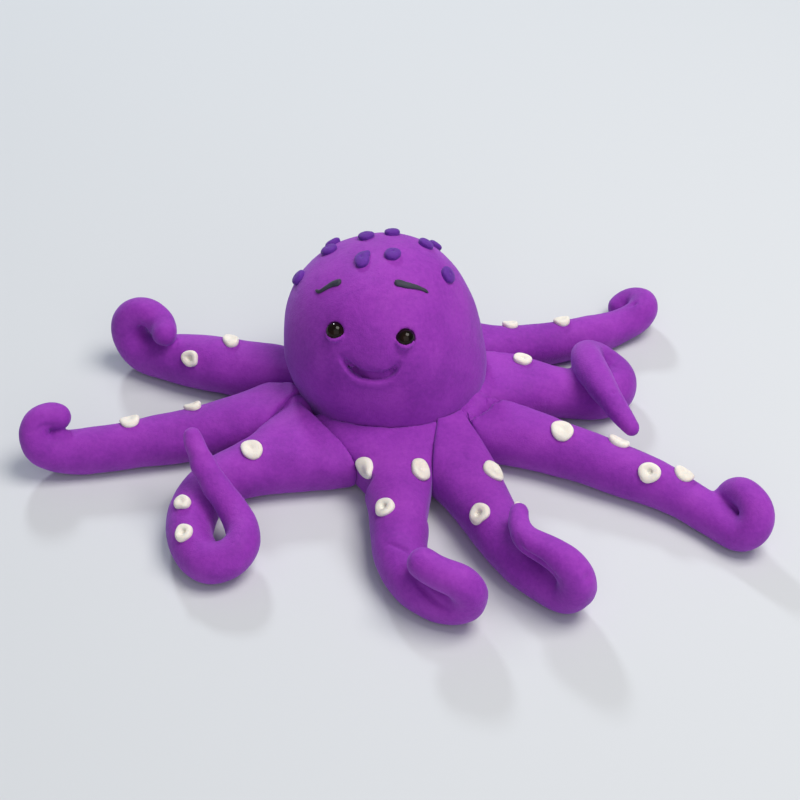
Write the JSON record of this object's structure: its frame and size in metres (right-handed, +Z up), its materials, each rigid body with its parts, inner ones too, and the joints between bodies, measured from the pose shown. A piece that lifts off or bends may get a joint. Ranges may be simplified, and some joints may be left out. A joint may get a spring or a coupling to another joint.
{
  "type": "clay octopus figurine",
  "caption": "Hand-modelled clay octopus figure: a smiling round head with bead eyes and flattened spots, on long tapered arms that curl at their tips and carry pressed-on suckers.",
  "frame": {"origin": "on the table, in the flat underside of the head, below the middle of the head's widest ring", "axes": "+Z up from the table; the face looks towards -Y; +X is on the right of somebody who looks at the face"},
  "size_m": [0.193, 0.1359, 0.0522],
  "materials": {
    "body_clay": "matte purple modelling clay",
    "spot_clay": "matte deep violet modelling clay",
    "sucker_clay": "matte warm white modelling clay",
    "brow_clay": "matte charcoal modelling clay",
    "eye_bead": "glossy near-black brown bead"
  },
  "bodies": {
    "root": {"head": "body_clay", "arm_left_back": "body_clay", "arm_left": "body_clay", "arm_left_front": "body_clay", "arm_front": "body_clay", "arm_right_front": "body_clay", "arm_right": "body_clay", "arm_right_mid": "body_clay", "arm_right_back": "body_clay", "eye_left": "eye_bead", "brow_left": "brow_clay", "eye_right": "eye_bead", "brow_right": "brow_clay", "spot_1": "spot_clay", "spot_2": "spot_clay", "spot_3": "spot_clay", "spot_4": "spot_clay", "spot_5": "spot_clay", "spot_6": "spot_clay", "spot_7": "spot_clay", "spot_8": "spot_clay", "spot_9": "spot_clay", "spot_10": "spot_clay", "spot_11": "spot_clay", "spot_12": "spot_clay", "spot_13": "spot_clay", "spot_14": "spot_clay", "sucker_left_back_1": "sucker_clay", "sucker_left_back_2": "sucker_clay", "sucker_left_1": "sucker_clay", "sucker_left_2": "sucker_clay", "sucker_left_front_1": "sucker_clay", "sucker_left_front_2": "sucker_clay", "sucker_left_front_3": "sucker_clay", "sucker_front_1": "sucker_clay", "sucker_front_2": "sucker_clay", "sucker_front_3": "sucker_clay", "sucker_right_front_1": "sucker_clay", "sucker_right_front_2": "sucker_clay", "sucker_right_front_3": "sucker_clay", "sucker_right_1": "sucker_clay", "sucker_right_2": "sucker_clay", "sucker_right_3": "sucker_clay", "sucker_right_4": "sucker_clay", "sucker_right_mid_1": "sucker_clay", "sucker_right_back_1": "sucker_clay", "sucker_right_back_2": "sucker_clay"}
  },
  "joints": []
}
